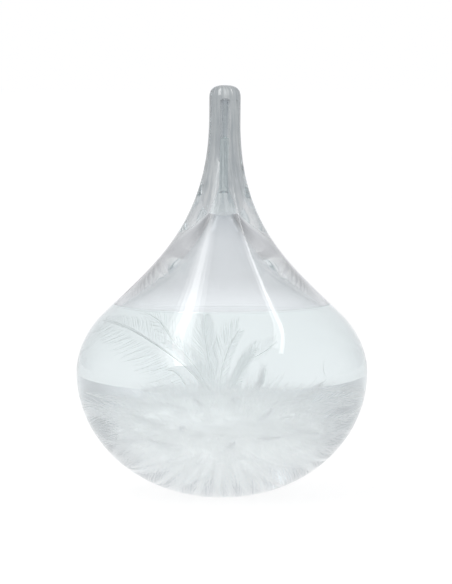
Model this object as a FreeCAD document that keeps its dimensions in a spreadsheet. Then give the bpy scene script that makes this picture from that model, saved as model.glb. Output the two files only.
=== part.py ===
"""A drop-shaped storm glass: a sealed glass drop that holds a liquid and its crystals.

Millimetres. The origin is the centre of the flat ring that the drop rests on, and +Z is up.
Both outlines are turned about Z. Every size is a cell of the sheet Dimensions.
"""
import FreeCAD, Part
import os
import re
import Sketcher

os.makedirs("parts", exist_ok=True)
doc = FreeCAD.newDocument("StormGlass")

# A reach says how far a curve runs straight on from its end before it bends away.
DIMENSIONS = {
    # Outside of the drop, from the ring it rests on up to the sealed tip
    "rest_radius": 12.0,
    "rest_slope": 9.5,
    "rest_reach": 26.3,
    "belly_radius": 57.5,
    "belly_level": 48.6,
    "belly_reach_down": 24.5,
    "belly_reach_up": 9.3,
    "shoulder_inset": 10.3,
    "shoulder_rise": 22.9,
    "shoulder_slope": 44.0,
    "shoulder_reach": 7.4,
    "flare_reach": 26.3,
    "neck_radius": 6.2,
    "neck_foot_below_tip": 14.0,
    "neck_reach": 41.8,
    "overall_height": 161.8,
    "tip_length": 4.8,
    # Hollow inside the drop
    "wall_thickness": 2.2,
    "floor_thickness": 4.0,
    "floor_reach": 30.5,
    "bore_radius": 1.3,
    "bore_tip_glass": 5.0,
    "throat_below_tip": 40.8,
    "throat_reach": 20.0,
    # Fill port in the base, with its plug and seal
    "port_radius": 4.0,
    "recess_radius": 8.0,
    "recess_depth": 1.2,
    "plug_head_radius": 6.0,
    "plug_head_thickness": 0.5,
    "seal_setback": 0.3,
    # Liquid, and the thread of it that hangs in the neck's bore
    "fill_above_belly": 25.7,
    "thread_foot_below_throat": 2.5,
    "thread_length": 22.8,
    # Crystals: a mound on the floor, and ferns that stand in it
    "mound_overlap": 2.2,
    "mound_middle_below_belly": 24.6,
    "mound_crown_below_belly": 3.6,
    "fern_root_depth": 5.0,
    "fern_thickness": 1.0,
}

# Each fern: where its root stands, the compass direction and the angle of its lean, the turn
# of its blade about its own stem, and its length and width.
FERN_SIZES = ("across", "back", "heading", "lean", "turn", "length", "width")
FERNS = {
    "fern_left_large": (-12, -4, 180, 40, 0, 34, 12),
    "fern_left_needle": (-13, 6, 170, 14, 0, 27, 7),
    "fern_left_low": (-18, -14, 200, 50, 0, 14, 5),
    "fern_centre_left": (-5, 0, 185, 5, 0, 26, 8),
    "fern_centre_tall": (0, 10, 90, 4, 90, 27, 9),
    "fern_centre_right": (1, -8, 0, 8, 0, 24, 9),
    "fern_right_leaning": (5, 3, 0, 38, 0, 24, 9),
    "fern_right_short": (13, -10, -20, 12, 0, 12, 5),
    "fern_back_left": (-9, 20, 120, 18, 60, 25, 9),
    "fern_back_right": (10, 17, 60, 22, -60, 24, 9),
}


def make_sheet():
    cells = dict(DIMENSIONS)
    for fern, sizes in FERNS.items():
        cells.update({f"{fern}_{name}": size for name, size in zip(FERN_SIZES, sizes)})
    sheet = doc.addObject("Spreadsheet::Sheet", "Dimensions")
    for row, (alias, size) in enumerate(cells.items(), start=1):
        sheet.set(f"A{row}", alias)
        sheet.set(f"B{row}", str(size))
        sheet.setAlias(f"B{row}", alias)
    doc.recompute()


def cells_in(text):
    """Turn each size's name, such as belly_radius, into its cell, Dimensions.belly_radius."""
    return re.sub(r"\b[a-z]+_\w+", lambda name: f"Dimensions.{name.group()}", text)


# Levels that more than one piece shares
NECK_FOOT = "(overall_height - neck_foot_below_tip)"
SHOULDER_RADIUS = "(belly_radius - shoulder_inset)"
SHOULDER_LEVEL = "(belly_level + shoulder_rise)"
INNER_BELLY = "(belly_radius - wall_thickness)"
INNER_SHOULDER_RADIUS = f"({SHOULDER_RADIUS} - wall_thickness * sin(shoulder_slope))"
INNER_SHOULDER_LEVEL = f"({SHOULDER_LEVEL} - wall_thickness * cos(shoulder_slope))"
THROAT = "(overall_height - throat_below_tip)"
BORE_TOP = "(overall_height - bore_tip_glass)"
FILL_LEVEL = "(belly_level + fill_above_belly)"
MOUND_MIDDLE = "(belly_level - mound_middle_below_belly)"
MOUND_CROWN = "(belly_level - mound_crown_below_belly)"


# ------------------------------------------------------------- outlines turned about Z

def new_body(name):
    body = doc.addObject("PartDesign::Body", name)
    body.Label = name
    return body


def upright_sketch(body, name):
    """An empty sketch on the body's own XZ plane, where up is Z."""
    plane = [datum for datum in body.Origin.OriginFeatures if datum.Role == "XZ_Plane"][0]
    sketch = body.newObject("Sketcher::SketchObject", name)
    sketch.AttachmentSupport = [(plane, "")]
    sketch.MapMode = "FlatFace"
    return sketch


def position(sketch, point):
    across, up = (float(sketch.evalExpression(cells_in(size))) for size in point)
    return FreeCAD.Vector(across, up, 0)


def drive(sketch, geometry, vertex, point):
    """Hold a point's two coordinates to two expressions. "0" puts it on that axis."""
    for kind, axis, size in zip(("DistanceX", "DistanceY"), (-2, -1), point):
        if size == "0":
            sketch.addConstraint(Sketcher.Constraint("PointOnObject", geometry, vertex, axis))
            continue
        now = float(sketch.evalExpression(cells_in(size)))
        index = sketch.addConstraint(Sketcher.Constraint(kind, -1, 1, geometry, vertex, now))
        sketch.setExpression(f"Constraints[{index}]", cells_in(size))


def touch(sketch, first, second):
    """Make one piece of the outline start where another ends."""
    sketch.addConstraint(Sketcher.Constraint("Coincident", first, 2, second, 1))


def add_curve(sketch, points, after=None):
    """A cubic curve. It starts at its own first point, or where an earlier piece ends."""
    curve = Part.BSplineCurve()
    poles = [position(sketch, point) for point in points]
    curve.buildFromPolesMultsKnots(poles, [4, 4], [0, 1], False, 3)
    index = sketch.addGeometry(curve)
    sketch.exposeInternalGeometry(index)
    for offset, point in enumerate(points, start=1):
        if offset > 1 or after is None:
            drive(sketch, index + offset, 3, point)
    if after is not None:
        touch(sketch, after, index)
    return index


def add_line(sketch, after, before):
    """A straight run from the end of one piece to the start of another."""
    ends = sketch.getPoint(after, 2), sketch.getPoint(before, 1)
    index = sketch.addGeometry(Part.LineSegment(*ends))
    touch(sketch, after, index)
    touch(sketch, index, before)
    return index


def revolve(body, sketch):
    turned = body.newObject("PartDesign::Revolution", f"{body.Name}_turned")
    turned.Profile = sketch
    turned.ReferenceAxis = (sketch, ["V_Axis"])
    turned.Angle = 360
    return body


def make_outside():
    """The whole drop as solid glass: rest, bowl, shoulder, flare, neck and rounded tip."""
    body = new_body("outside")
    sketch = upright_sketch(body, "outside_outline")
    rest = ("rest_radius", "0")
    bowl = add_curve(sketch, [
        rest,
        ("rest_radius + rest_reach * cos(rest_slope)", "rest_reach * sin(rest_slope)"),
        ("belly_radius", "belly_level - belly_reach_down"),
        ("belly_radius", "belly_level"),
    ])
    shoulder = add_curve(sketch, [
        ("belly_radius", "belly_level"),
        ("belly_radius", "belly_level + belly_reach_up"),
        (f"{SHOULDER_RADIUS} + shoulder_reach * cos(shoulder_slope)",
         f"{SHOULDER_LEVEL} - shoulder_reach * sin(shoulder_slope)"),
        (SHOULDER_RADIUS, SHOULDER_LEVEL),
    ], after=bowl)
    flare = add_curve(sketch, [
        (SHOULDER_RADIUS, SHOULDER_LEVEL),
        (f"{SHOULDER_RADIUS} - flare_reach * cos(shoulder_slope)",
         f"{SHOULDER_LEVEL} + flare_reach * sin(shoulder_slope)"),
        ("neck_radius", f"{NECK_FOOT} - neck_reach"),
        ("neck_radius", NECK_FOOT),
    ], after=shoulder)
    tip = add_curve(sketch, [
        ("neck_radius", "overall_height - tip_length"),
        ("neck_radius", "overall_height - tip_length / 4"),
        ("neck_radius * 2 / 3", "overall_height"),
        ("0", "overall_height"),
    ])
    add_line(sketch, flare, tip)
    ground = sketch.addGeometry(Part.LineSegment(FreeCAD.Vector(), position(sketch, rest)))
    sketch.addConstraint(Sketcher.Constraint("Coincident", -1, 1, ground, 1))
    touch(sketch, ground, bowl)
    add_line(sketch, tip, ground)
    return revolve(body, sketch)


def make_hollow():
    """The space inside the glass: floor, belly, shoulder, throat and the neck's fine bore."""
    body = new_body("hollow")
    sketch = upright_sketch(body, "hollow_outline")
    bowl = add_curve(sketch, [
        ("0", "floor_thickness"),
        ("floor_reach", "floor_thickness"),
        (INNER_BELLY, "belly_level - belly_reach_down"),
        (INNER_BELLY, "belly_level"),
    ])
    shoulder = add_curve(sketch, [
        (INNER_BELLY, "belly_level"),
        (INNER_BELLY, "belly_level + belly_reach_up"),
        (f"{INNER_SHOULDER_RADIUS} + shoulder_reach * cos(shoulder_slope)",
         f"{INNER_SHOULDER_LEVEL} - shoulder_reach * sin(shoulder_slope)"),
        (INNER_SHOULDER_RADIUS, INNER_SHOULDER_LEVEL),
    ], after=bowl)
    throat = add_curve(sketch, [
        (INNER_SHOULDER_RADIUS, INNER_SHOULDER_LEVEL),
        (f"{INNER_SHOULDER_RADIUS} - flare_reach * cos(shoulder_slope)",
         f"{INNER_SHOULDER_LEVEL} + flare_reach * sin(shoulder_slope)"),
        ("bore_radius", f"{THROAT} - throat_reach"),
        ("bore_radius", THROAT),
    ], after=shoulder)
    bore_end = add_curve(sketch, [
        ("bore_radius", f"{BORE_TOP} - bore_radius"),
        ("bore_radius", f"{BORE_TOP} - bore_radius / 2"),
        ("bore_radius / 2", BORE_TOP),
        ("0", BORE_TOP),
    ])
    add_line(sketch, throat, bore_end)
    add_line(sketch, bore_end, bowl)
    return revolve(body, sketch)


# ------------------------------------------------------------- plain solids and booleans

def cylinder(name, radius, height, level="0"):
    solid = doc.addObject("Part::Cylinder", name)
    solid.setExpression("Radius", cells_in(radius))
    solid.setExpression("Height", cells_in(height))
    solid.setExpression("Placement.Base.z", cells_in(level))
    return solid


def two_into_one(kind, name, base, tool):
    made = doc.addObject(f"Part::{kind}", name)
    made.Label = name
    made.Base = base
    made.Tool = tool
    return made


def gather(name, pieces):
    group = doc.addObject("Part::Compound", name)
    group.Links = pieces
    return group


def make_glass_drop(outside, hollow):
    port = cylinder("port", "port_radius", "floor_thickness + port_radius")
    recess = cylinder("recess", "recess_radius", "recess_depth")
    way_in = two_into_one("Fuse", "way_in", port, recess)
    shell = two_into_one("Cut", "shell", outside, hollow)
    return two_into_one("Cut", "glass_drop", shell, way_in)


def make_fill_plug(hollow):
    """The plug fills the port, its head lies in the recess, its end is flush with the floor."""
    head_level = "recess_depth - plug_head_thickness"
    shank = cylinder("plug_shank", "port_radius", "floor_thickness", "recess_depth")
    head = cylinder("plug_head", "plug_head_radius", "plug_head_thickness", head_level)
    blank = two_into_one("Fuse", "plug_blank", shank, head)
    return two_into_one("Cut", "fill_plug", blank, hollow)


def make_plug_sealant(plug):
    disc = cylinder("seal_disc", "recess_radius", "recess_depth - seal_setback", "seal_setback")
    return two_into_one("Cut", "plug_sealant", disc, plug)


def make_neck_thread(hollow):
    foot = f"{THROAT} - thread_foot_below_throat"
    slug = cylinder("thread_span", "neck_radius", "thread_length", foot)
    return two_into_one("Common", "neck_liquid_thread", hollow, slug)


def make_mound():
    """A domed top that is wide enough to reach the glass all round, and all the space below it."""
    width = "belly_radius - wall_thickness * 2 - mound_overlap"
    dome = doc.addObject("Part::Ellipsoid", "mound_dome")
    dome.Angle1 = 0
    dome.setExpression("Radius1", cells_in(f"{MOUND_CROWN} - {MOUND_MIDDLE}"))
    dome.setExpression("Radius2", cells_in(width))
    dome.setExpression("Radius3", cells_in(width))
    dome.setExpression("Placement.Base.z", cells_in(MOUND_MIDDLE))
    below = cylinder("below_dome", width, MOUND_MIDDLE)
    return two_into_one("Fuse", "mound", below, dome)


def make_fern(name, mound):
    """A thin pointed blade that stands in the mound, less the part inside the mound."""
    body = new_body(f"{name}_blade")
    sketch = upright_sketch(body, f"{name}_outline")
    root, tip = ("0", "0"), ("0", f"{name}_length")
    low, high = position(sketch, root), position(sketch, tip)
    bulge = FreeCAD.Vector(float(sketch.evalExpression(cells_in(f"{name}_width / 2"))), 0, 0)
    middle = (low + high) / 2
    for start, end, side in ((low, high, bulge), (high, low, -bulge)):
        sketch.addGeometry(Part.Arc(start, middle + side, end))
    radius = f"({name}_length ^ 2 / 4 + {name}_width ^ 2 / 4) / {name}_width"
    now = float(sketch.evalExpression(cells_in(radius)))
    for arc, low_end in ((0, 1), (1, 2)):
        sketch.addConstraint(Sketcher.Constraint("Coincident", arc, low_end, -1, 1))
        drive(sketch, arc, 3 - low_end, tip)
        index = sketch.addConstraint(Sketcher.Constraint("Radius", arc, now))
        sketch.setExpression(f"Constraints[{index}]", cells_in(radius))
    pad = body.newObject("PartDesign::Pad", f"{name}_pad")
    pad.Profile = sketch
    pad.setExpression("Length", cells_in("fern_thickness"))
    pad.SideType = "Symmetric"
    stand = f"vector({name}_across; {name}_back; {MOUND_CROWN} - fern_root_depth)"
    facing = f"rotation(vector(0; 0; 1); {name}_heading)"
    leaning = f"rotation(vector(0; 1; 0); {name}_lean)"
    turning = f"rotation(vector(0; 0; 1); {name}_turn)"
    body.setExpression(
        "Placement", cells_in(f"placement({stand}; {facing} * {leaning} * {turning})"))
    return two_into_one("Cut", name, body, mound)


def make_storm_liquid(hollow, crystals):
    """All of the hollow below the fill level, less the crystals."""
    below = cylinder("below_fill_level", "belly_radius", FILL_LEVEL)
    filling = two_into_one("Common", "filling", hollow, below)
    return two_into_one("Cut", "storm_liquid", filling, gather("all_crystals", crystals))


# ------------------------------------------------------------- the assembly

def build():
    make_sheet()
    outside = make_outside()
    hollow = make_hollow()
    plug = make_fill_plug(hollow)
    mound = make_mound()
    crystals = [two_into_one("Common", "crystal_bed", hollow, mound)]
    crystals += [make_fern(name, mound) for name in FERNS]
    return [
        make_glass_drop(outside, hollow),
        plug,
        make_plug_sealant(plug),
        make_storm_liquid(hollow, crystals),
        make_neck_thread(hollow),
    ] + crystals


def check(pieces):
    for item in doc.Objects:
        if {"Invalid", "Error"} & set(item.State):
            raise RuntimeError(f"{item.Label} did not compute")
    for piece in pieces:
        if piece.Shape.isNull() or not piece.Shape.isValid() or len(piece.Shape.Solids) != 1:
            raise RuntimeError(f"{piece.Label} is not one valid solid")


nodes = build()
doc.recompute()
check(nodes)
for node in nodes:
    node.Shape.exportStep(f"parts/{node.Label}.step")
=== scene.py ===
"""The looks of a drop-shaped storm glass: blown glass, its liquid and its feathery crystals."""
import math
import random

import bpy
from mathutils import Matrix, Vector, noise


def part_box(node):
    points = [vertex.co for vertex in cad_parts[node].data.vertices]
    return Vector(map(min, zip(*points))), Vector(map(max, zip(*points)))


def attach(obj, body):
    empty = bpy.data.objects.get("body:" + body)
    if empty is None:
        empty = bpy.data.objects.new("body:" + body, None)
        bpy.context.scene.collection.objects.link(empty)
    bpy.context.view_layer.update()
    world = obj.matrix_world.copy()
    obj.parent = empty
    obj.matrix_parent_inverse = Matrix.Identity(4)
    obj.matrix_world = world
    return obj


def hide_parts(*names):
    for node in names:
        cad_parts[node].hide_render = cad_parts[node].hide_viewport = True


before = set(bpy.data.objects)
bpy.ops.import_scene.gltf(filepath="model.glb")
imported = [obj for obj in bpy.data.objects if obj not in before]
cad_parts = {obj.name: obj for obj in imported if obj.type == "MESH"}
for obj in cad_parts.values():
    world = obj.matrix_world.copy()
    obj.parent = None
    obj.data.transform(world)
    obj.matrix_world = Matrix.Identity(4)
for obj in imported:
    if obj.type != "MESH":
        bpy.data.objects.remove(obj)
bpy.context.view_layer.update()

MM = 0.001


def box_corners(node):
    """The lowest and the highest corner of a CAD node's box."""
    return [Vector(corner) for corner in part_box(node)]


GLASS_HIGH = box_corners("glass_drop")[1]
THREAD_LOW, THREAD_HIGH = box_corners("neck_liquid_thread")
BELLY_RADIUS = GLASS_HIGH.x
HEIGHT = GLASS_HIGH.z
FILL_LEVEL = box_corners("storm_liquid")[1].z
BED_TOP = box_corners("crystal_bed")[1].z

# The drop's outlines, as the part has them. A reach is how far a curve runs on from its end.
REST_RADIUS = 12 * MM
REST_SLOPE = math.radians(9.5)
REST_REACH = 26.3 * MM
BELLY_LEVEL = 48.6 * MM
BELLY_REACH_DOWN = 24.5 * MM
BELLY_REACH_UP = 9.3 * MM
SHOULDER_INSET = 10.3 * MM
SHOULDER_RISE = 22.9 * MM
SHOULDER_SLOPE = math.radians(44)
SHOULDER_REACH = 7.4 * MM
FLARE_REACH = 26.3 * MM
NECK_RADIUS = 6.2 * MM
NECK_FOOT = HEIGHT - 14 * MM
NECK_REACH = 41.8 * MM
TIP_LENGTH = 4.8 * MM
WALL = 2.2 * MM
FLOOR = 4 * MM
FLOOR_REACH = 30.5 * MM
BORE_RADIUS = 1.3 * MM
BORE_TOP = HEIGHT - 5 * MM
THROAT = HEIGHT - 40.8 * MM
THROAT_REACH = 20 * MM
PORT_RADIUS = 4 * MM
RECESS_RADIUS = 8 * MM
RECESS_DEPTH = 1.2 * MM

ROUND = 224                  # sides of everything turned about the axis
MENISCUS_RISE = 0.15 * MM
MENISCUS_WIDTH = 0.5 * MM
LIQUID_GAP = 0.02 * MM       # between the liquid and the glass that it wets
CRYSTAL_GAP = 0.4 * MM       # between the crystals and the glass
NECK_WANDER = 1.2 * MM       # how far the drawn neck strays from the axis at its tip


# ---------------------------------------------------------------- outlines

def cubic(points, steps):
    """Points (radius, level) along a cubic curve, its last point left to the next piece."""
    a, b, c, d = (Vector(point) for point in points)
    for step in range(steps):
        t = step / steps
        u = 1 - t
        yield a * u ** 3 + b * 3 * u * u * t + c * 3 * u * t * t + d * t ** 3


def straight(start, end, steps):
    """Points (radius, level) along a straight line, its last point left to the next piece."""
    start, end = Vector(start), Vector(end)
    for step in range(steps):
        yield start.lerp(end, step / steps)


def slanted(point, reach, slope):
    """A point at a reach along the shoulder's slope, up and inward for a positive reach."""
    return (point[0] - reach * math.cos(slope), point[1] + reach * math.sin(slope))


def shoulder_point(wall=0.0):
    """Where the shoulder ends and the flare begins, a wall's thickness inside the outline."""
    radius = BELLY_RADIUS - SHOULDER_INSET - wall * math.sin(SHOULDER_SLOPE)
    return radius, BELLY_LEVEL + SHOULDER_RISE - wall * math.cos(SHOULDER_SLOPE)


def shoulder_curve(belly, wall, steps):
    """From the widest point of the belly, at a radius, up to the shoulder."""
    shoulder = shoulder_point(wall)
    return cubic([(belly, BELLY_LEVEL), (belly, BELLY_LEVEL + BELLY_REACH_UP),
                  slanted(shoulder, -SHOULDER_REACH, SHOULDER_SLOPE), shoulder], steps)


def outer_outline():
    """From the rest ring up the outside to the centre of the tip."""
    shoulder = shoulder_point()
    rest_end = slanted((REST_RADIUS, 0), -REST_REACH, -REST_SLOPE)
    yield from cubic([(REST_RADIUS, 0), rest_end,
                      (BELLY_RADIUS, BELLY_LEVEL - BELLY_REACH_DOWN),
                      (BELLY_RADIUS, BELLY_LEVEL)], 44)
    yield from shoulder_curve(BELLY_RADIUS, 0, 18)
    yield from cubic([shoulder, slanted(shoulder, FLARE_REACH, SHOULDER_SLOPE),
                      (NECK_RADIUS, NECK_FOOT - NECK_REACH), (NECK_RADIUS, NECK_FOOT)], 56)
    yield from straight((NECK_RADIUS, NECK_FOOT), (NECK_RADIUS, HEIGHT - TIP_LENGTH), 10)
    yield from cubic([(NECK_RADIUS, HEIGHT - TIP_LENGTH), (NECK_RADIUS, HEIGHT - TIP_LENGTH / 4),
                      (NECK_RADIUS * 2 / 3, HEIGHT), (0, HEIGHT)], 16)
    yield Vector((0, HEIGHT))


def inner_outline():
    """From the centre of the floor up the inside to the centre of the bore's end."""
    belly = BELLY_RADIUS - WALL
    shoulder = shoulder_point(WALL)
    yield from cubic([(0, FLOOR), (FLOOR_REACH, FLOOR),
                      (belly, BELLY_LEVEL - BELLY_REACH_DOWN), (belly, BELLY_LEVEL)], 44)
    yield from shoulder_curve(belly, WALL, 40)
    yield from cubic([shoulder, slanted(shoulder, FLARE_REACH, SHOULDER_SLOPE),
                      (BORE_RADIUS, THROAT - THROAT_REACH), (BORE_RADIUS, THROAT)], 70)
    yield from straight((BORE_RADIUS, THROAT), (BORE_RADIUS, BORE_TOP - BORE_RADIUS), 26)
    yield from cubic([(BORE_RADIUS, BORE_TOP - BORE_RADIUS),
                      (BORE_RADIUS, BORE_TOP - BORE_RADIUS / 2),
                      (BORE_RADIUS / 2, BORE_TOP), (0, BORE_TOP)], 10)
    yield Vector((0, BORE_TOP))


INNER = list(inner_outline())
OUTER = list(outer_outline())


def hollow_radius(level):
    """The radius of the glass's inside at a level."""
    for low, high in zip(INNER, INNER[1:]):
        if low.y <= level <= high.y and high.y > low.y:
            return low.x + (high.x - low.x) * (level - low.y) / (high.y - low.y)
    return 0.0


def smooth(low, high, value):
    """An even ease from 0 at low to 1 at high."""
    t = min(max((value - low) / (high - low), 0.0), 1.0)
    return t * t * (3 - 2 * t)


# ---------------------------------------------------------------- turned meshes

def new_piece(name, verts, faces, slots, marks=None):
    """A smooth mesh piece on the root body. marks gives each face's slot number."""
    mesh = bpy.data.meshes.new(name)
    mesh.from_pydata(verts, [], faces)
    for material in slots:
        mesh.materials.append(material)
    if marks:
        mesh.polygons.foreach_set("material_index", marks)
    mesh.polygons.foreach_set("use_smooth", [True] * len(mesh.polygons))
    mesh.update()
    piece = bpy.data.objects.new(name, mesh)
    bpy.context.scene.collection.objects.link(piece)
    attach(piece, "root")
    return piece


def wander(level):
    """How far the neck strays to the right at a level."""
    return NECK_WANDER * smooth(FILL_LEVEL, HEIGHT, level)


def turn(rows, wobble=None):
    """Verts and faces of a closed surface turned about Z.

    rows holds (radius, level, slot), where slot is that of the faces from this row to the next.
    The last row joins the first unless both ends lie on the axis.
    """
    verts, rings, faces, marks = [], [], [], []
    for index, (radius, level, _) in enumerate(rows):
        if radius < 1e-7:
            rings.append([len(verts)])
            verts.append((wander(level), 0, level))
            continue
        rings.append(list(range(len(verts), len(verts) + ROUND)))
        for side in range(ROUND):
            angle = math.tau * side / ROUND
            here = radius + (wobble(index, radius, level, angle) if wobble else 0)
            verts.append((here * math.cos(angle) + wander(level), here * math.sin(angle), level))
    loop = len(rings[0]) > 1
    for index in range(len(rows) if loop else len(rows) - 1):
        low, high = rings[index], rings[(index + 1) % len(rows)]
        for side in range(ROUND):
            after = (side + 1) % ROUND
            if len(low) == 1 and len(high) == 1:
                break
            if len(low) == 1:
                faces.append((low[0], high[after], high[side]))
            elif len(high) == 1:
                faces.append((low[side], low[after], high[0]))
            else:
                faces.append((low[side], low[after], high[after], high[side]))
            marks.append(rows[index][2])
    return verts, faces, marks


def rows_of(points, slot):
    """Rows for turn from points (radius, level), all with one slot."""
    return [(point.x, point.y, slot) for point in points]


# ---------------------------------------------------------------- shader maths

class Socket:
    """An output socket of a node tree, with sums and products written as expressions."""

    def __init__(self, tree, output):
        self.tree = tree
        self.output = output

    def maths(self, operation, *inputs):
        return self.tree.node("ShaderNodeMath", {"operation": operation}, inputs)

    def __add__(self, other):
        return self.maths("ADD", self, other)

    def __sub__(self, other):
        return self.maths("SUBTRACT", self, other)

    def __rsub__(self, other):
        return self.maths("SUBTRACT", other, self)

    def __mul__(self, other):
        return self.maths("MULTIPLY", self, other)

    def __pow__(self, other):
        return self.maths("POWER", self, other)

    def __abs__(self):
        return self.maths("ABSOLUTE", self)

    __radd__ = __add__
    __rmul__ = __mul__

    def clipped(self):
        return self.tree.node("ShaderNodeClamp", {}, [self])


def set_stops(ramp, stops):
    """Give a colour ramp its stops, each a place and a colour."""
    while len(ramp.elements) < len(stops):
        ramp.elements.new(0.5)
    for element, (place, colour) in zip(ramp.elements, stops):
        element.position = place
        element.color = (*colour, 1)


class Tree:
    """A node tree that is built up node by node."""

    def __init__(self, node_tree):
        self.nodes = node_tree.nodes
        self.links = node_tree.links

    def node(self, kind, settings, inputs, output=0):
        """Add a node: its settings first, then its sockets by name, or in order for a list."""
        made = self.nodes.new(kind)
        for setting, value in settings.items():
            if setting == "stops":
                set_stops(made.color_ramp, value)
            else:
                setattr(made, setting, value)
        named = inputs.items() if isinstance(inputs, dict) else enumerate(inputs)
        for key, value in named:
            self.feed(made.inputs[key], value)
        return Socket(self, made.outputs[output])

    def feed(self, socket, value):
        if isinstance(value, Socket):
            self.links.new(value.output, socket)
        else:
            socket.default_value = value

    def place(self):
        return self.node("ShaderNodeNewGeometry", {}, [], "Position")

    def part_of(self, vector, axis):
        return self.node("ShaderNodeSeparateXYZ", {}, [vector], axis)

    def round_axis(self, climb):
        """Where a point stands round the axis, as a unit circle, with climb turns of level."""
        place = self.place()
        circle = self.node("ShaderNodeVectorMath", {"operation": "NORMALIZE"},
                           [self.stretch(place, (1, 1, 0))])
        rise = self.stretch(place, (0, 0, climb))
        return self.node("ShaderNodeVectorMath", {"operation": "ADD"}, [circle, rise])

    def stretch(self, vector, scale):
        """A vector or colour times another, part by part."""
        return self.node("ShaderNodeVectorMath", {"operation": "MULTIPLY"}, [vector, scale])

    def grain(self, vector, scale, detail=3.0, rough=0.5):
        return self.node("ShaderNodeTexNoise", {}, {
            "Vector": vector, "Scale": scale, "Detail": detail, "Roughness": rough})

    def ramp(self, value, stops):
        return self.node("ShaderNodeValToRGB", {"stops": stops}, [value])

    def between(self, low, high, value):
        """How far a value has come from low to high, from 0 to 1."""
        return self.node("ShaderNodeMapRange", {"interpolation_type": "SMOOTHSTEP"},
                         {"Value": value, "From Min": low, "From Max": high})

    def blend(self, factor, first, second):
        return self.node("ShaderNodeMix", {"data_type": "RGBA"}, {
            "Factor": factor, 6: first, 7: second}, 2)

    def bump(self, height, strength, distance):
        return self.node("ShaderNodeBump", {}, {
            "Strength": strength, "Distance": distance, "Height": height})


class Finish(Tree):
    """A node material with one Principled shader."""

    def __init__(self, name, **constants):
        self.material = bpy.data.materials.new(name)
        self.material.use_nodes = True
        super().__init__(self.material.node_tree)
        self.shader = self.nodes["Principled BSDF"]
        for socket, value in constants.items():
            self.shader.inputs[socket.replace("_", " ")].default_value = value

    def set(self, socket, value):
        self.feed(self.shader.inputs[socket], value)


# ---------------------------------------------------------------- finishes

GLASS_IOR = 1.47
LIQUID_IOR = 1.36
# Painted light: the colour that makes the glancing edge pale low in the belly.
PAINTED_LIGHT_RIM = (0.80, 0.83, 0.85)    # the glass's edge low in the belly


def painted_glass_shade(finish, clear, middle, foot, deep, edge):
    """Painted shade: the glass is darker up the thick neck and where a glance runs along the wall.

    A painted highlight lightens the tip, and painted light makes the glancing edge pale low in
    the belly. clear is the belly's colour, middle the flare's, foot and deep the neck's at its
    foot and up.
    """
    level = finish.part_of(finish.place(), "Z")
    # Painted shade: darker up the thick neck, from the belly's clear colour to the deep one.
    thick = finish.ramp(finish.between(FILL_LEVEL - 4 * MM, THROAT + 24 * MM, level),
                        [(0.0, clear), (0.38, middle), (0.58, foot), (1.0, deep)])
    # Painted highlight: the tip is lightened back towards the belly's clear colour.
    tip = finish.between(HEIGHT - 5 * MM, HEIGHT - 1.5 * MM, level)
    thick = finish.blend(tip * 0.6, thick, (*clear, 1))
    flare = finish.between(FILL_LEVEL - 2 * MM, FILL_LEVEL + 12 * MM, level)
    # Painted shade along the glancing edges, deeper above the liquid.
    facing = finish.node("ShaderNodeLayerWeight", {}, {"Blend": 0.5}, "Facing")
    bottom = finish.between(36 * MM, 12 * MM, level)
    along = finish.ramp(flare, [(0.0, edge), (1.0, tuple(part * 0.30 for part in edge))])
    # Painted light: low in the belly the glancing edge turns pale instead of dark.
    along = finish.blend(bottom, along, (*PAINTED_LIGHT_RIM, 1))
    return finish.blend(facing ** (3.0 - flare * 1.55), thick, along)


def corded(finish, colour, dark, strength):
    """Colour glass with the long cords that drawing leaves in it. Returns the cords' height."""
    cords = finish.grain(finish.round_axis(9.0), 4.5, 3.0, 0.6)
    drawn = finish.between(THROAT - 18 * MM, THROAT, finish.part_of(finish.place(), "Z"))
    shade = finish.between(0.56, 0.44, cords) * drawn * strength
    finish.set("Base Color", finish.blend(shade, colour, (*dark, 1)))
    return cords * drawn


def blown_glass():
    finish = Finish("blown glass", Transmission_Weight=1.0, Roughness=0.0, IOR=GLASS_IOR)
    # The colours of the painted shade up the glass and along its glancing edge.
    colour = painted_glass_shade(finish, (0.89, 0.92, 0.93), (0.85, 0.87, 0.88), (0.60, 0.62, 0.635),
                   (0.45, 0.475, 0.485), (0.52, 0.555, 0.58))
    cords = corded(finish, colour, (0.30, 0.33, 0.35), 0.75)
    finish.set("Normal", finish.bump(cords, 0.15, 0.25 * MM))
    return finish.material


def inner_glass():
    finish = Finish("inner face of the glass", Transmission_Weight=1.0, Roughness=0.0,
                    IOR=GLASS_IOR)
    level = finish.part_of(finish.place(), "Z")
    # Painted shade: the inner face is darker up towards the throat.
    colour = finish.ramp(finish.between(FILL_LEVEL, THROAT, level),
                         [(0.0, (0.97, 0.98, 0.985)), (1.0, (0.86, 0.89, 0.91))])
    cords = corded(finish, colour, (0.55, 0.58, 0.60), 0.6)
    finish.set("Normal", finish.bump(cords, 0.15, 0.25 * MM))
    return finish.material


def wetted_glass():
    """The inner face where liquid lies on it, which bends light only a little."""
    finish = Finish("wetted glass", Transmission_Weight=1.0, Roughness=0.0,
                    IOR=GLASS_IOR / LIQUID_IOR)
    level = finish.part_of(finish.place(), "Z")
    finish.set("Base Color", finish.ramp(finish.between(0, FILL_LEVEL, level), [
        (0.0, (0.97, 0.98, 0.985)), (1.0, (0.95, 0.985, 0.99))]))
    return finish.material


def ground_glass():
    finish = Finish("ground glass of the rest ring", Transmission_Weight=1.0, Roughness=0.45,
                    IOR=GLASS_IOR)
    fine = finish.grain(finish.place(), 6000.0)
    finish.set("Base Color", finish.ramp(fine, [
        (0.3, (0.82, 0.85, 0.86)), (0.7, (0.97, 0.985, 0.99))]))
    finish.set("Normal", finish.bump(fine, 0.4, 0.05 * MM))
    return finish.material


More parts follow.
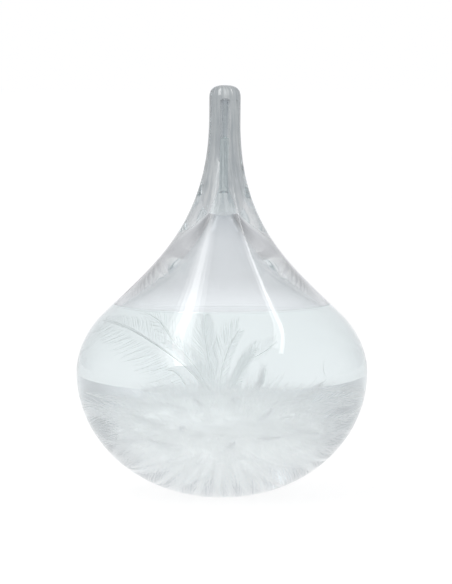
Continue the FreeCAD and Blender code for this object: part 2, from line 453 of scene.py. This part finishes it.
def liquid_surface():
    finish = Finish("liquid surface", Transmission_Weight=1.0, Roughness=0.0, IOR=LIQUID_IOR)
    ripple = finish.grain(finish.place(), 90.0, 1.0)
    finish.set("Base Color", finish.ramp(ripple, [
        (0.3, (0.93, 0.975, 0.98)), (0.7, (0.97, 0.99, 0.99))]))
    return finish.material


def liquid_side():
    """The liquid where it lies on the glass: only its faint colour shows there."""
    finish = Finish("liquid against the glass", Transmission_Weight=1.0, Roughness=0.0, IOR=1.0)
    level = finish.part_of(finish.place(), "Z")
    finish.set("Base Color", finish.ramp(finish.between(0, FILL_LEVEL, level), [
        (0.0, (0.93, 0.93, 0.935)), (1.0, (0.93, 0.945, 0.94))]))
    return finish.material


def camphor(name, pale, shade, painted_glow):
    """Fine crystal, pale at its root and darkened to its tip with painted shade.

    It glows a little: painted light, standing in for the light that a heap of it scatters.
    """
    # The emission is painted light: the crystal glows though it is no lamp.
    finish = Finish(name, Roughness=0.6, IOR=1.12, Emission_Strength=painted_glow)
    cloud = finish.grain(finish.place(), 160.0, 4.0, 0.65)
    # Painted shade: each needle darkens from its root to its tip.
    growth = finish.node("ShaderNodeAttribute", {"attribute_name": "growth"}, [], "Fac")
    painted_shade_factor = (growth * 0.9 + cloud * 0.3 - 0.1).clipped()
    finish.set("Base Color", finish.ramp(painted_shade_factor, [(0.0, pale), (0.9, shade)]))
    finish.set("Emission Color", (0.96, 0.99, 1.0, 1))
    return finish.material


def silicone(name, pale, shade, rough):
    """Milky or clear rubber with a soft cloud in it."""
    finish = Finish(name, Roughness=rough, Transmission_Weight=0.35, IOR=1.41)
    cloud = finish.grain(finish.place(), 900.0, 4.0)
    finish.set("Base Color", finish.ramp(cloud, [(0.35, shade), (0.7, pale)]))
    finish.set("Normal", finish.bump(cloud, 0.2, 0.05 * MM))
    return finish.material


# ---------------------------------------------------------------- glass and liquid

OUTSIDE, DRY, WET, GROUND = 0, 1, 2, 3   # the glass's material slots
LIQUID_TOP, LIQUID_SIDE = 0, 1           # the liquid's


def drawn_lobes(count, seed):
    """A wavy ring, as drawn glass has it: lobes in several numbers round, finer ones shallower."""
    draw = random.Random(seed)
    lobes = [(number, draw.uniform(0, math.tau), draw.uniform(0.5, 1) / number ** 0.8)
             for number in draw.sample(range(3, 34), count)]

    def height(angle):
        return sum(size * math.cos(number * angle + start) for number, start, size in lobes)
    return height


def make_glass():
    """The drop as one closed shell: outside, sealed bore, dry and wetted inside, and port."""
    def face_at(level):
        wet = level <= FILL_LEVEL or THREAD_LOW.z <= level <= THREAD_HIGH.z
        return WET if wet else DRY

    inside = [point for point in reversed(INNER) if point.x > PORT_RADIUS or point.y > THROAT]
    rows = [(RECESS_RADIUS, 0, GROUND)]
    rows += rows_of(OUTER, OUTSIDE)
    rows += [(point.x, point.y, face_at(point.y)) for point in inside]
    rows += [(PORT_RADIUS, FLOOR, DRY), (PORT_RADIUS, RECESS_DEPTH, DRY),
             (RECESS_RADIUS, RECESS_DEPTH, DRY)]
    first_inside = 1 + len(OUTER)
    outer_lobes, inner_lobes = drawn_lobes(14, 3), drawn_lobes(14, 11)

    def wobble(index, radius, level, angle):
        drawn = smooth(THROAT - 20 * MM, THROAT + 8 * MM, level)
        if index < first_inside:
            tip = 1 - smooth(HEIGHT - 6 * MM, HEIGHT, level)
            return outer_lobes(angle + level * 3) * 0.09 * MM * drawn * tip
        if level < FILL_LEVEL:
            return 0
        folds = smooth(THROAT - 18 * MM, THROAT - 4 * MM, level)
        narrow = min(radius / (6 * MM), 1)
        return inner_lobes(angle + level * 5) * 0.10 * MM * folds * narrow

    verts, faces, marks = turn(rows, wobble)
    slots = [blown_glass(), inner_glass(), wetted_glass(), ground_glass()]
    glass = new_piece("blown_glass_drop", verts, faces, slots, marks)
    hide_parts("glass_drop")


def fill_points():
    """The liquid's side: the inside of the glass up to where the meniscus meets it."""
    return [Vector((max(point.x - LIQUID_GAP, 0), point.y + LIQUID_GAP))
            for point in INNER if point.y < FILL_LEVEL + MENISCUS_RISE * 0.8]


def make_liquid():
    """The filling: its side lies on the glass, and its top curls up at the edge."""
    side = fill_points()
    edge = side[-1].x
    steps = 26
    top = []
    for step in range(1, steps + 1):
        radius = edge * (1 - (step / steps) ** 2.2)
        curl = MENISCUS_RISE * math.exp(-(edge - radius) / MENISCUS_WIDTH)
        top.append((radius, FILL_LEVEL + curl, LIQUID_TOP))
    top[-1] = (0, FILL_LEVEL, LIQUID_TOP)
    rows = rows_of(side, LIQUID_SIDE)
    rows[-1] = (edge, side[-1].y, LIQUID_TOP)
    verts, faces, marks = turn(rows + top)
    liquid = new_piece("liquid_filling", verts, faces, [liquid_surface(), liquid_side()], marks)
    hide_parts("storm_liquid")


def make_thread():
    """The slug of liquid held up in the bore, hollowed at both ends."""
    radius = BORE_RADIUS - LIQUID_GAP
    hollow = radius * 0.7
    steps = 8
    turns = [math.pi / 2 * step / steps for step in range(steps + 1)]
    rows = [(radius * math.sin(t), THREAD_LOW.z + hollow * math.cos(t), LIQUID_TOP)
            for t in turns[:-1]]
    rows += [(radius, THREAD_LOW.z, LIQUID_SIDE),
             (radius, (THREAD_LOW.z + THREAD_HIGH.z) / 2, LIQUID_SIDE),
             (radius, THREAD_HIGH.z, LIQUID_TOP)]
    rows += [(radius * math.cos(t), THREAD_HIGH.z - hollow * math.sin(t), LIQUID_TOP)
             for t in turns[1:-1]]
    rows += [(0, THREAD_HIGH.z - hollow, LIQUID_TOP)]
    verts, faces, marks = turn(rows)
    thread = new_piece("liquid_in_the_bore", verts, faces, [liquid_surface(), liquid_side()], marks)
    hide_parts("neck_liquid_thread")


# ---------------------------------------------------------------- crystals

GOLDEN = math.pi * (3 - math.sqrt(5))   # the turn from one hair to the next
TUFT_HAIR = (0.03 * MM, 0.065 * MM)     # radii of a tuft's hairs
FUZZ_HAIR = (0.03 * MM, 0.06 * MM)
TUFT_STEM = 0.12 * MM
BARB = 0.065 * MM                       # radius of a fern's barbs; its stem has three times it
CROSSED_SHARE = 0.6                     # length of the barbs that stand out of a fern's face


class Needles:
    """A heap of fine closed needles that becomes one mesh."""

    def __init__(self):
        self.verts = []
        self.faces = []
        self.growth = []

    def add(self, points, thick, side, growth=(0.2, 1.0)):
        """One three-sided needle through its points, coming to a point at both ends.

        growth is the needle's painted shade at its root and at its tip, from 0 to 1.
        """
        corners = 3
        first, *middle, last = points
        along = (last - first).normalized()
        across = along.cross(side).normalized()
        other = along.cross(across)
        old, new = growth
        below = [len(self.verts)]
        self.verts.append(first[:])
        self.growth.append(old)
        for number, point in enumerate(middle, 1):
            share = number / (len(middle) + 1)
            ring = []
            for corner in range(corners):
                angle = math.tau * corner / corners
                arm = across * math.cos(angle) + other * math.sin(angle)
                ring.append(len(self.verts))
                self.verts.append((point + arm * thick * (1.25 - 0.7 * share))[:])
                self.growth.append(old + (new - old) * share)
            self.join(below, ring)
            below = ring
        self.join(below, [len(self.verts)])
        self.verts.append(last[:])
        self.growth.append(new)

    def join(self, low, high):
        """Faces between two rings of a needle, either of which may be its point."""
        corners = max(len(low), len(high))
        for corner in range(corners):
            after = (corner + 1) % corners
            if len(low) == 1:
                self.faces.append((low[0], high[after], high[corner]))
            elif len(high) == 1:
                self.faces.append((low[corner], low[after], high[0]))
            else:
                self.faces.append((low[corner], low[after], high[after], high[corner]))

    def piece(self, name, finish, node):
        """The heap as a mesh kept clear of the glass, which stands for a CAD node."""
        self.verts = [tuple(inside_glass(Vector(vert), CRYSTAL_GAP)) for vert in self.verts]
        made = new_piece(name, self.verts, self.faces, [finish])
        made.data.attributes.new("growth", "FLOAT", "POINT").data.foreach_set("value", self.growth)
        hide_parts(node)


def feather(heap, draw, root, tip, face, length, barbs, slant, bend, right, left):
    """A feather crystal: a bent stem with rows of long curved barbs.

    A row lies on each side of the stem, across the face, and two thinner rows stand out of it.
    """
    reach = tip - root
    side = (reach / reach.length).cross(face).normalized()
    sag = side * reach.length * bend

    def stem(t):
        return root + reach * t + sag * 4 * t * (1 - t)

    heap.add([stem(0), stem(0.34), stem(0.7), stem(1)], BARB * 3, face)
    rows = [(1, right, barbs, True), (-1, left, barbs, True),
            (1, CROSSED_SHARE, barbs // 2, False), (-1, CROSSED_SHARE, barbs // 2, False)]
    for hand, share, count, in_face in rows:
        for barb in range(count):
            t = (barb + draw.uniform(0.3, 0.7)) / count
            start = stem(t)
            heading = (stem(min(t + 0.05, 1)) - stem(t - 0.05)).normalized()
            out = (heading.cross(face).normalized() if in_face else face) * hand
            size = length * share * (0.68 + 0.32 * math.sin(math.pi * t ** 0.7)) * (1.05 - 0.1 * t)
            size *= draw.uniform(0.85, 1.1)
            lean = slant * draw.uniform(0.93, 1.07) * (1 - 0.30 * t * t)
            way = heading * math.cos(lean) + out * math.sin(lean)
            lift = face * draw.uniform(-0.16, 0.16) * size
            curl = heading * size * draw.uniform(0.05, 0.22)
            heap.add([start, start + way * size * 0.35 + lift * 0.3,
                      start + way * size * 0.72 + lift * 0.7 + curl * 0.4,
                      start + way * size + lift + curl], BARB * draw.uniform(0.6, 1.1), face)


def wall_distance(start, way):
    """How far from a point the inside of the glass is in a direction."""
    step = 0.8 * MM
    travelled = 0.0
    while travelled < 2 * BELLY_RADIUS:
        point = start + way * (travelled + step)
        if math.hypot(point.x, point.y) > hollow_radius(point.z) or point.z > FILL_LEVEL:
            return travelled
        travelled += step
    return travelled


def tuft(heap, draw, root, tip, length, hairs):
    """A crystal tuft like a fox's tail: fine hairs all round a bent stem, slanted to its tip."""
    reach = tip - root
    along = reach.normalized()
    across = along.cross(Vector((0.3, 0.2, 1))).normalized()
    other = along.cross(across)
    sag = (across * draw.uniform(-1, 1) + other * draw.uniform(-1, 1)) * reach.length * 0.07

    def stem(t):
        return root + reach * t + sag * 4 * t * (1 - t)

    for hair in range(hairs):
        t = (hair + draw.random()) / hairs
        about = hair * GOLDEN
        out = across * math.cos(about) + other * math.sin(about)
        size = length * (1.0 - 0.62 * t ** 2) * draw.uniform(0.6, 1.15)
        lean = draw.uniform(0.36, 0.62) * (1 - 0.8 * t ** 3)
        way = along * math.cos(lean) + out * math.sin(lean)
        curl = along * size * draw.uniform(0.0, 0.2)
        start = stem(t)
        heap.add([start, start + way * size * 0.45, start + way * size + curl],
                 draw.uniform(*TUFT_HAIR), out, (t * 0.5, 0.3 + t * 0.7))
    heap.add([stem(0), stem(0.3), stem(0.6), stem(0.85)], TUFT_STEM, across, (0.0, 0.8))


def settled(point):
    """Press a point down that stands above the top of the bed."""
    top = BED_TOP - 1 * MM
    if point.z > top:
        point.z = top + (point.z - top) * 0.3
    return point


def inside_glass(point, gap):
    """Draw a point in until it lies clear of the glass."""
    reach = math.hypot(point.x, point.y)
    room = hollow_radius(max(point.z, FLOOR + 0.2 * MM)) - gap
    if reach > room > 0:
        point = Vector((point.x * room / reach, point.y * room / reach, point.z))
    return point


# The core of the bed, and rings of tufts about it: how many tufts, how steeply they rise, the
# length of their hairs in millimetres, and the hairs in each.
CORE = Vector((0, 0, 32.5 * MM))
CORE_ACROSS = 29 * MM
CORE_TALL = 9 * MM
HIGH_TUFTS = [(20, 0.17, 6.6, 430), (15, -0.08, 7.0, 430)]
LOW_TUFTS = [(11, -0.36, 6.4, 620), (8, -0.68, 5.6, 620), (3, -0.95, 5.0, 460)]


def outward(about, up):
    """The way out at an angle round the axis that climbs by up, from -1 to 1."""
    level = math.sqrt(max(1 - up * up, 0))
    return Vector((level * math.cos(about), level * math.sin(about), up))


def spread_tufts(heap, draw, rings):
    """Tufts from the core nearly to the glass, in rings."""
    for count, rise, length, hairs in rings:
        turned = draw.uniform(0, math.tau)
        for number in range(count):
            about = turned + math.tau * (number + draw.uniform(-0.3, 0.3)) / count
            up = rise + draw.uniform(-0.08, 0.08)
            way = outward(about, up).normalized()
            room = wall_distance(CORE, way) * draw.uniform(0.78, 0.90)
            root = CORE + way * min(room * 0.25, 9 * MM)
            tip = CORE + way * room
            tip.z = min(tip.z, BED_TOP - 3 * MM)
            tuft(heap, draw, root, tip, length * draw.uniform(0.85, 1.15) * MM, hairs)


def fuzz(heap, draw, hairs, longest, low, high):
    """Short hairs that stand out of the core, between two heights on it from -1 to 1."""
    for hair in range(hairs):
        up = low + (high - low) * (hair + 0.5) / hairs
        about = hair * GOLDEN
        out = outward(about, up)
        start = CORE + Vector((out.x * CORE_ACROSS, out.y * CORE_ACROSS, out.z * CORE_TALL)) * 0.94
        way = out + Vector([draw.uniform(-0.6, 0.6) for _ in range(3)])
        size = draw.uniform(0.3, 1) * longest
        heap.add([start, start + way * size * 0.5, start + way * size],
                 draw.uniform(*FUZZ_HAIR), Vector((0.2, 0.1, 1)), (0.1, 0.7))


def make_bed(high_finish, low_finish, core_finish):
    """The soft mass: a clouded core and tufts that radiate from it to the glass."""
    draw = random.Random(7)
    for name, finish, rings, hairs, longest, low, high in (
            ("crystal_tufts_above", high_finish, HIGH_TUFTS, 10500, 8 * MM, -0.35, 1.0),
            ("crystal_tufts_below", low_finish, LOW_TUFTS, 6000, 5 * MM, -1.0, -0.2)):
        heap = Needles()
        spread_tufts(heap, draw, rings)
        fuzz(heap, draw, hairs, longest, low, high)
        heap.verts = [settled(Vector(vert)) for vert in heap.verts]
        heap.piece(name, finish, "crystal_bed")
    make_core(core_finish)


def make_core(finish):
    """The densest middle of the bed, lumpy all over."""
    verts, faces = [], []
    rings, sides = 40, 72
    for ring in range(1, rings):
        polar = math.pi * ring / rings
        for side in range(sides):
            angle = math.tau * side / sides
            way = Vector((math.sin(polar) * math.cos(angle), math.sin(polar) * math.sin(angle),
                          -math.cos(polar)))
            lump = 1 + 0.09 * noise.fractal(way * 2.6, 0.8, 2.1, 5)
            verts.append((way.x * CORE_ACROSS * lump, way.y * CORE_ACROSS * lump,
                          CORE.z + way.z * CORE_TALL * lump))
    verts.append((0, 0, CORE.z - CORE_TALL))
    verts.append((0, 0, CORE.z + CORE_TALL))
    for ring in range(rings - 2):
        for side in range(sides):
            after = (side + 1) % sides
            low, high = ring * sides, (ring + 1) * sides
            faces.append((low + side, low + after, high + after, high + side))
    last = (rings - 2) * sides
    for side in range(sides):
        after = (side + 1) % sides
        faces.append((len(verts) - 2, after, side))
        faces.append((last + side, last + after, len(verts) - 1))
    core = new_piece("crystal_core", verts, faces, [finish])
    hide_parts("crystal_bed")


# Each fern: its root and tip (x, y, level), barbs a side, barb length, slant, bend, the share of
# that length on its right and on its left, looking up it, and how far its face is turned from the
# front. Sizes are in millimetres, the slant and the turn in radians.
FERNS = {
    "fern_left_large": ((-1, -6, 42), (-40.5, -6, 64.2), 100, 10.5, 0.95, 0.03, 0.70, 1.1, 0.15),
    "fern_left_needle": ((-12, 2, 51), (-26, 2, 64), 16, 5.5, 0.80, 0.03, 1.2, 0.8, -0.5),
    "fern_left_low": ((-11, -8, 45), (-17.5, -8, 48.5), 16, 1.2, 0.80, 0.16, 0.9, 0.4, 0.3),
    "fern_centre_left": ((-2.5, 0, 44), (-5.5, 0, 60.5), 62, 6.0, 0.80, -0.04, 1.0, 1.2, 0.5),
    "fern_centre_tall": ((-1, -9, 43), (5, -9, 58), 60, 5.4, 0.90, -0.09, 0.7, 1.4, -0.35),
    "fern_centre_right": ((2, -4, 44), (7, -4, 50.5), 36, 3.2, 0.85, 0.06, 1.0, 0.9, 0.45),
    "fern_right_leaning": ((7, -7, 50.5), (16.8, -7, 55.3), 26, 2.8, 1.25, 0.07, 0.4, 1.3, -0.2),
    "fern_right_short": ((12.5, -8, 45), (13.2, -8, 49.4), 5, 1.5, 0.80, 0.05, 1.0, 1.0, 0.3),
    "fern_back_left": ((-3, 4, 43), (-15, 4, 53), 60, 5.0, 0.85, 0.07, 1.0, 1.1, 1.15),
    "fern_back_right": ((2, 4, 43), (9, 4, 51), 50, 3.6, 0.85, -0.07, 1.0, 1.1, -1.15),
}


def make_ferns(finish):
    """Each fern as a feather, turned about its stem."""
    draw = random.Random(19)
    for name, (root, tip, barbs, length, slant, bend, right, left, turned) in FERNS.items():
        heap = Needles()
        face = Vector((math.sin(turned), -math.cos(turned), 0))
        feather(heap, draw, Vector(root) * MM, Vector(tip) * MM, face, length * MM,
                barbs, slant, bend, right, left)
        heap.piece(name + "_feather", finish, name)


# ---------------------------------------------------------------- base plug

def finish_plug():
    """The plug and its seal keep their own solids, with their own finishes."""
    plug = silicone("milky silicone plug", (0.80, 0.81, 0.80), (0.70, 0.72, 0.71), 0.4)
    seal = silicone("clear silicone seal", (0.88, 0.90, 0.90), (0.80, 0.83, 0.83), 0.2)
    for name, finish in (("fill_plug", plug), ("plug_sealant", seal)):
        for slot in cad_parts[name].material_slots:
            slot.material = finish


# ---------------------------------------------------------------- studio

AIM = Vector((1.6 * MM, 0, 80.2 * MM))   # the point the camera looks at
CAMERA_RISE = math.radians(3.6)
CAMERA_DISTANCE = 1.4
LENS = 218.5
FLOOR_HALF = 25.0
FLOOR_DROP = 0.02 * MM    # keeps the floor clear of the rest ring
LEFT_PANELS = [(0.40, 2.2), (0.26, 2.0), (0.12, 1.4)]    # width, power
RIGHT_PANELS = [(0.10, 0.6, 0.60), (0.04, 0.5, 0.48)]    # width, power, level of the low end


def make_camera():
    camera = bpy.data.objects.new("camera", bpy.data.cameras.new("camera"))
    bpy.context.scene.collection.objects.link(camera)
    camera.data.lens = LENS
    camera.location = AIM + CAMERA_DISTANCE * Vector(
        (0, -math.cos(CAMERA_RISE), math.sin(CAMERA_RISE)))
    camera.rotation_euler = (AIM - camera.location).to_track_quat("-Z", "Y").to_euler()
    bpy.context.scene.camera = camera


def soft_light(name, low_end, high_end, width, power):
    """A long soft panel between two points, facing the drop."""
    low_end, high_end = Vector(low_end), Vector(high_end)
    data = bpy.data.lights.new(name, "AREA")
    data.shape = "RECTANGLE"
    data.size = width
    data.size_y = (high_end - low_end).length
    data.energy = power
    lamp = bpy.data.objects.new(name, data)
    bpy.context.scene.collection.objects.link(lamp)
    centre = (low_end + high_end) / 2
    away = (centre - Vector((0, 0, HEIGHT / 2))).normalized()
    long_way = (high_end - low_end).normalized()
    away = (away - long_way * away.dot(long_way)).normalized()
    turned = Matrix((long_way.cross(away), long_way, away)).transposed()
    lamp.matrix_world = Matrix.Translation(centre) @ turned.to_4x4()


def make_floor():
    finish = Finish("pale floor", Base_Color=(0.14, 0.14, 0.14, 1), Roughness=0.9,
                    Emission_Strength=0.86)
    finish.set("Emission Color", (1, 1, 1, 1))
    corners = [(x * FLOOR_HALF, y * FLOOR_HALF, 0) for x, y in ((-1, -1), (1, -1), (1, 1), (-1, 1))]
    mesh = bpy.data.meshes.new("floor")
    mesh.from_pydata(corners, [], [(0, 1, 2, 3)])
    mesh.materials.append(finish.material)
    floor = bpy.data.objects.new("floor", mesh)
    floor.location.z = -FLOOR_DROP
    bpy.context.scene.collection.objects.link(floor)


def greys(*stops):
    """Colour stops of a faintly blue grey, from (place, grey)."""
    return [(place, (grey, grey, grey * 1.01)) for place, grey in stops]


def make_sky():
    """A white band at the horizon, greyer overhead and to both sides."""
    world = bpy.data.worlds.new("studio")
    bpy.context.scene.world = world
    world.use_nodes = True
    sky = Tree(world.node_tree)
    way = sky.node("ShaderNodeTexCoord", {}, [], "Generated")
    upward = sky.ramp(sky.part_of(way, "Z"), greys(
        (0.0, 1.0), (0.022, 1.0), (0.034, 0.98), (0.20, 0.86), (1.0, 0.72)))
    aside = sky.ramp(abs(sky.part_of(way, "X")), greys(
        (0.25, 1.0), (0.62, 0.70), (0.80, 0.76), (0.93, 1.0)))
    sky.feed(sky.nodes["Background"].inputs["Color"], sky.stretch(upward, aside))


def make_studio():
    make_camera()
    make_floor()
    make_sky()
    for number, (width, power) in enumerate(LEFT_PANELS):
        soft_light(f"left panel {number}", (-0.40 - number * MM, -0.62, 0.34),
                   (-0.40 - number * MM, 0.20, 1.52), width, power)
    for number, (width, power, low) in enumerate(RIGHT_PANELS):
        soft_light(f"right panel {number}", (0.50 + number * MM, -0.38, low),
                   (0.50 + number * MM, 0.33, 1.22), width, power)
    # Light crosses many faces inside the glass before it comes out again.
    scene = bpy.context.scene
    scene.view_settings.view_transform = "Standard"
    scene.cycles.max_bounces = 72
    scene.cycles.transmission_bounces = 72
    scene.cycles.glossy_bounces = 64
    scene.cycles.diffuse_bounces = 3
    scene.cycles.use_denoising = True


make_glass()
make_liquid()
make_thread()
# The tufts below are paler and glow more than those above: painted light lifting their shade.
make_bed(camphor("camphor tufts", (0.78, 0.78, 0.77), (0.74, 0.74, 0.75), 0.33),
         camphor("camphor tufts in the shade", (0.80, 0.80, 0.79), (0.78, 0.78, 0.78), 0.40),
         camphor("camphor core", (0.78, 0.78, 0.77), (0.78, 0.78, 0.77), 0.32))
# The ferns' barbs darken strongly to their tips: painted shade.
make_ferns(camphor("camphor ferns", (0.82, 0.84, 0.84), (0.56, 0.58, 0.58), 0.34))
finish_plug()
make_studio()
